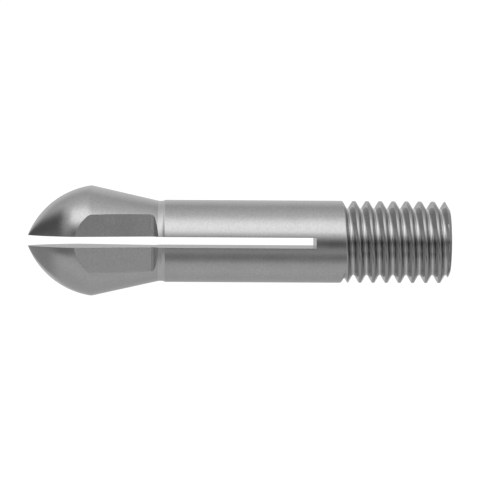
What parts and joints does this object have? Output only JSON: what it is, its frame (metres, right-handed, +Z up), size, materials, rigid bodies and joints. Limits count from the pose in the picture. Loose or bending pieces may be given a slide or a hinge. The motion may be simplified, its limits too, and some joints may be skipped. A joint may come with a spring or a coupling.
{
  "type": "slotted spring stud with threaded end",
  "caption": "Turned steel stud with a slotted two-jaw spring head that grips inside a bore, and a male screw thread on the other end.",
  "frame": {"origin": "on the axis where the thread starts, which is 10 mm from the thread's free end", "axes": "+X along the axis from the nose to the thread, +Z up with the slot horizontal in the XY plane"},
  "size_m": [0.04, 0.0098, 0.0104],
  "materials": {
    "ground_steel": "fine turned and ground steel with a satin shine"
  },
  "bodies": {
    "shank": {"threaded_shank": "ground_steel"},
    "upper_jaw": {"upper_jaw": "ground_steel"},
    "lower_jaw": {"lower_jaw": "ground_steel"}
  },
  "joints": [
    {"name": "upper_jaw_flex", "type": "hinge", "parent": "shank", "child": "upper_jaw", "pos_m": [-0.00275, 0, 0.0005], "axis": [0, -1, 0], "range_deg": [0, 1], "stiffness_Nm_per_rad": 680},
    {"name": "lower_jaw_flex", "type": "hinge", "parent": "shank", "child": "lower_jaw", "pos_m": [-0.00275, 0, -0.0005], "axis": [0, 1, 0], "range_deg": [0, 1]}
  ],
  "couplings": [
    {"joint": "lower_jaw_flex", "follows": "upper_jaw_flex", "ratio": 1}
  ]
}
